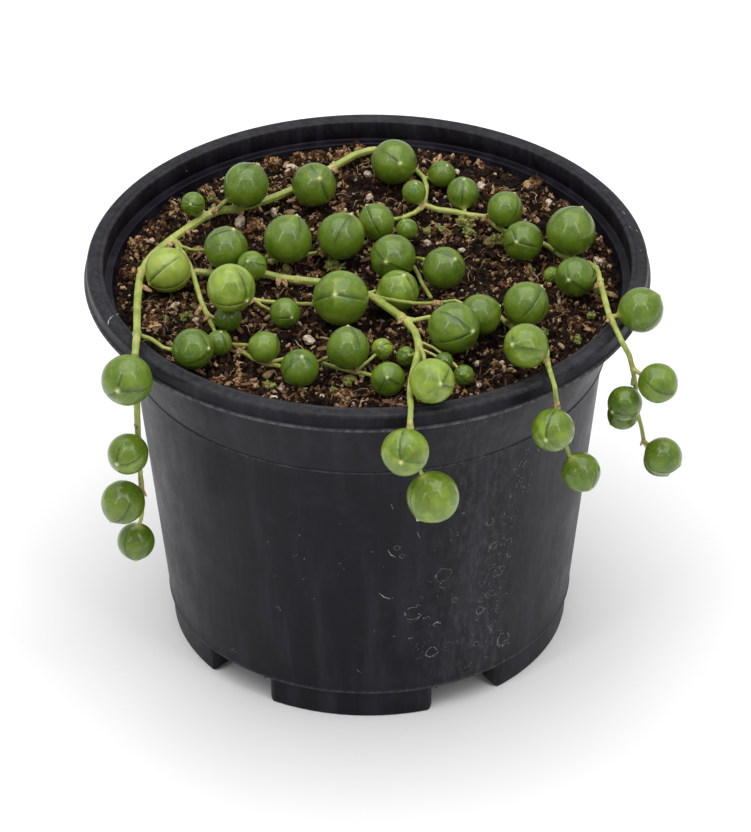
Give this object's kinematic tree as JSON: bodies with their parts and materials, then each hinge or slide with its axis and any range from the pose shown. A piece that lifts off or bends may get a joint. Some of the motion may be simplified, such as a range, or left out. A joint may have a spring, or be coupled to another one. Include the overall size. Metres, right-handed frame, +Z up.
{
  "type": "potted string of pearls plant",
  "caption": "Trailing succulent with round, pointed, pea-like leaves on thin stems that lie on dark soil and hang over the rim of a round black plastic nursery pot.",
  "frame": {"origin": "the middle of the part's footprint, at the height of the pot's feet; the pot's own axis stands at x -2.3 mm, y +6.0 mm, because the plant trails over the front and right of the rim", "axes": "+Z up along the pot's axis; -Y towards the front, over which most strands hang; +X to the right as seen from the front"},
  "size_m": [0.1116, 0.1191, 0.0904],
  "materials": {
    "pot": "satin black, lightly scuffed, with pale water marks",
    "soil": "moist, dark brown, fibrous potting mix with pale perlite grains",
    "leaf": "smooth, slightly waxy, fresh green",
    "stem": "smooth pale green, browner at the joints"
  },
  "bodies": {
    "root": {"pot": "pot", "soil": "soil", "stem_a": "stem", "stem_b": "stem", "stem_c": "stem", "stem_d": "stem", "stem_e": "stem", "stem_f": "stem", "stem_g": "stem", "stem_h": "stem", "pearl_a1": "leaf", "pearl_a2": "leaf", "pearl_a3": "leaf", "pearl_a4": "leaf", "pearl_a5": "leaf", "pearl_a6": "leaf", "pearl_a7": "leaf", "pearl_a8": "leaf", "pearl_a9": "leaf", "pearl_a10": "leaf", "pearl_a11": "leaf", "pearl_a12": "leaf", "pearl_b1": "leaf", "pearl_b2": "leaf", "pearl_b3": "leaf", "pearl_b4": "leaf", "pearl_b5": "leaf", "pearl_b6": "leaf", "pearl_b7": "leaf", "pearl_c1": "leaf", "pearl_c2": "leaf", "pearl_c3": "leaf", "pearl_d1": "leaf", "pearl_d2": "leaf", "pearl_d3": "leaf", "pearl_d4": "leaf", "pearl_e1": "leaf", "pearl_e2": "leaf", "pearl_e3": "leaf", "pearl_e4": "leaf", "pearl_e5": "leaf", "pearl_e6": "leaf", "pearl_e7": "leaf", "pearl_e8": "leaf", "pearl_e9": "leaf", "pearl_e10": "leaf", "pearl_e11": "leaf", "pearl_e12": "leaf", "pearl_e13": "leaf", "pearl_e14": "leaf", "pearl_e15": "leaf", "pearl_e16": "leaf", "pearl_f1": "leaf", "pearl_f2": "leaf", "pearl_g1": "leaf", "pearl_g2": "leaf", "pearl_g3": "leaf", "pearl_g4": "leaf", "pearl_h1": "leaf", "pearl_h2": "leaf"}
  },
  "joints": []
}
